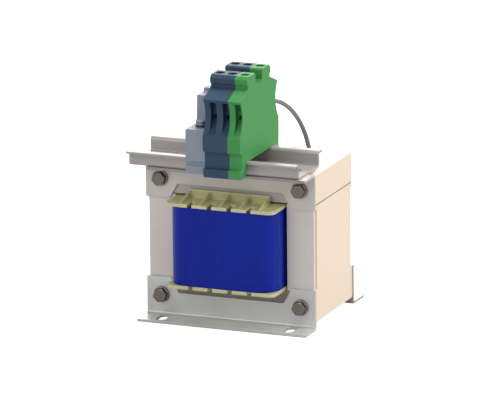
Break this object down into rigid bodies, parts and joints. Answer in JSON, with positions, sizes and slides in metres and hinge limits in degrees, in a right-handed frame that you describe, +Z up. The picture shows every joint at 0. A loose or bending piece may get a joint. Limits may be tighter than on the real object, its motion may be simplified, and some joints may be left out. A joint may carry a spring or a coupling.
{
  "type": "iron core inductor",
  "caption": "Laminated iron core inductor with a wrapped coil on a moulded bobbin, sheet brackets with slotted feet, and screw terminals on a top rail.",
  "frame": {"origin": "bottom centre of the whole part's box without the coil lead, on the plane of the feet's undersides; the core's middle is 1.45 mm to +X and 5.1 mm to +Y of it", "axes": "+X along the rail towards the coil lead's side, +Y from the terminal side towards the back, +Z up"},
  "size_m": [0.0878, 0.095, 0.1229],
  "materials": {
    "lamination_iron": "varnished lamination edges, matt",
    "gap_fibre": "pressed fibre",
    "bobbin_plastic": "moulded, satin",
    "copper": "enamelled copper wire",
    "coil_wrap": "wrapped film, glossy",
    "bracket_steel": "zinc plated sheet, satin",
    "bolt_steel": "dark plated",
    "rail_steel": "zinc plated, satin",
    "housing_dark": "moulded, satin",
    "housing_green": "moulded, satin",
    "contact_metal": "tinned",
    "end_grey": "moulded, satin",
    "lead_sleeve": "insulating sleeve, matt"
  },
  "bodies": {
    "root": {"e_core_stack": "lamination_iron", "i_core_yoke": "lamination_iron", "air_gap_spacer": "gap_fibre", "bobbin": "bobbin_plastic", "copper_winding": "copper", "coil_wrap": "coil_wrap", "lower_front_bracket": "bracket_steel", "lower_rear_bracket": "bracket_steel", "upper_front_bracket": "bracket_steel", "upper_rear_bracket": "bracket_steel", "clamp_bolt_lower_left": "bolt_steel", "clamp_washer_lower_left": "bolt_steel", "clamp_nut_lower_left": "bolt_steel", "clamp_bolt_lower_right": "bolt_steel", "clamp_washer_lower_right": "bolt_steel", "clamp_nut_lower_right": "bolt_steel", "clamp_bolt_upper_left": "bolt_steel", "clamp_washer_upper_left": "bolt_steel", "clamp_nut_upper_left": "bolt_steel", "clamp_bolt_upper_right": "bolt_steel", "clamp_washer_upper_right": "bolt_steel", "clamp_nut_upper_right": "bolt_steel", "din_rail": "rail_steel", "rail_rivet_left": "rail_steel", "rail_rivet_right": "rail_steel", "terminal_housing_left": "housing_dark", "current_bar_left": "contact_metal", "clamp_cage_left_front": "contact_metal", "clamp_screw_left_front": "bolt_steel", "clamp_cage_left_rear": "contact_metal", "clamp_screw_left_rear": "bolt_steel", "terminal_housing_middle": "housing_dark", "current_bar_middle": "contact_metal", "clamp_cage_middle_front": "contact_metal", "clamp_screw_middle_front": "bolt_steel", "clamp_cage_middle_rear": "contact_metal", "clamp_screw_middle_rear": "bolt_steel", "terminal_housing_right": "housing_green", "current_bar_right": "contact_metal", "clamp_cage_right_front": "contact_metal", "clamp_screw_right_front": "bolt_steel", "clamp_cage_right_rear": "contact_metal", "clamp_screw_right_rear": "bolt_steel", "end_bracket": "end_grey", "end_bracket_screw": "bolt_steel", "coil_lead_wire": "lead_sleeve"}
  },
  "joints": []
}
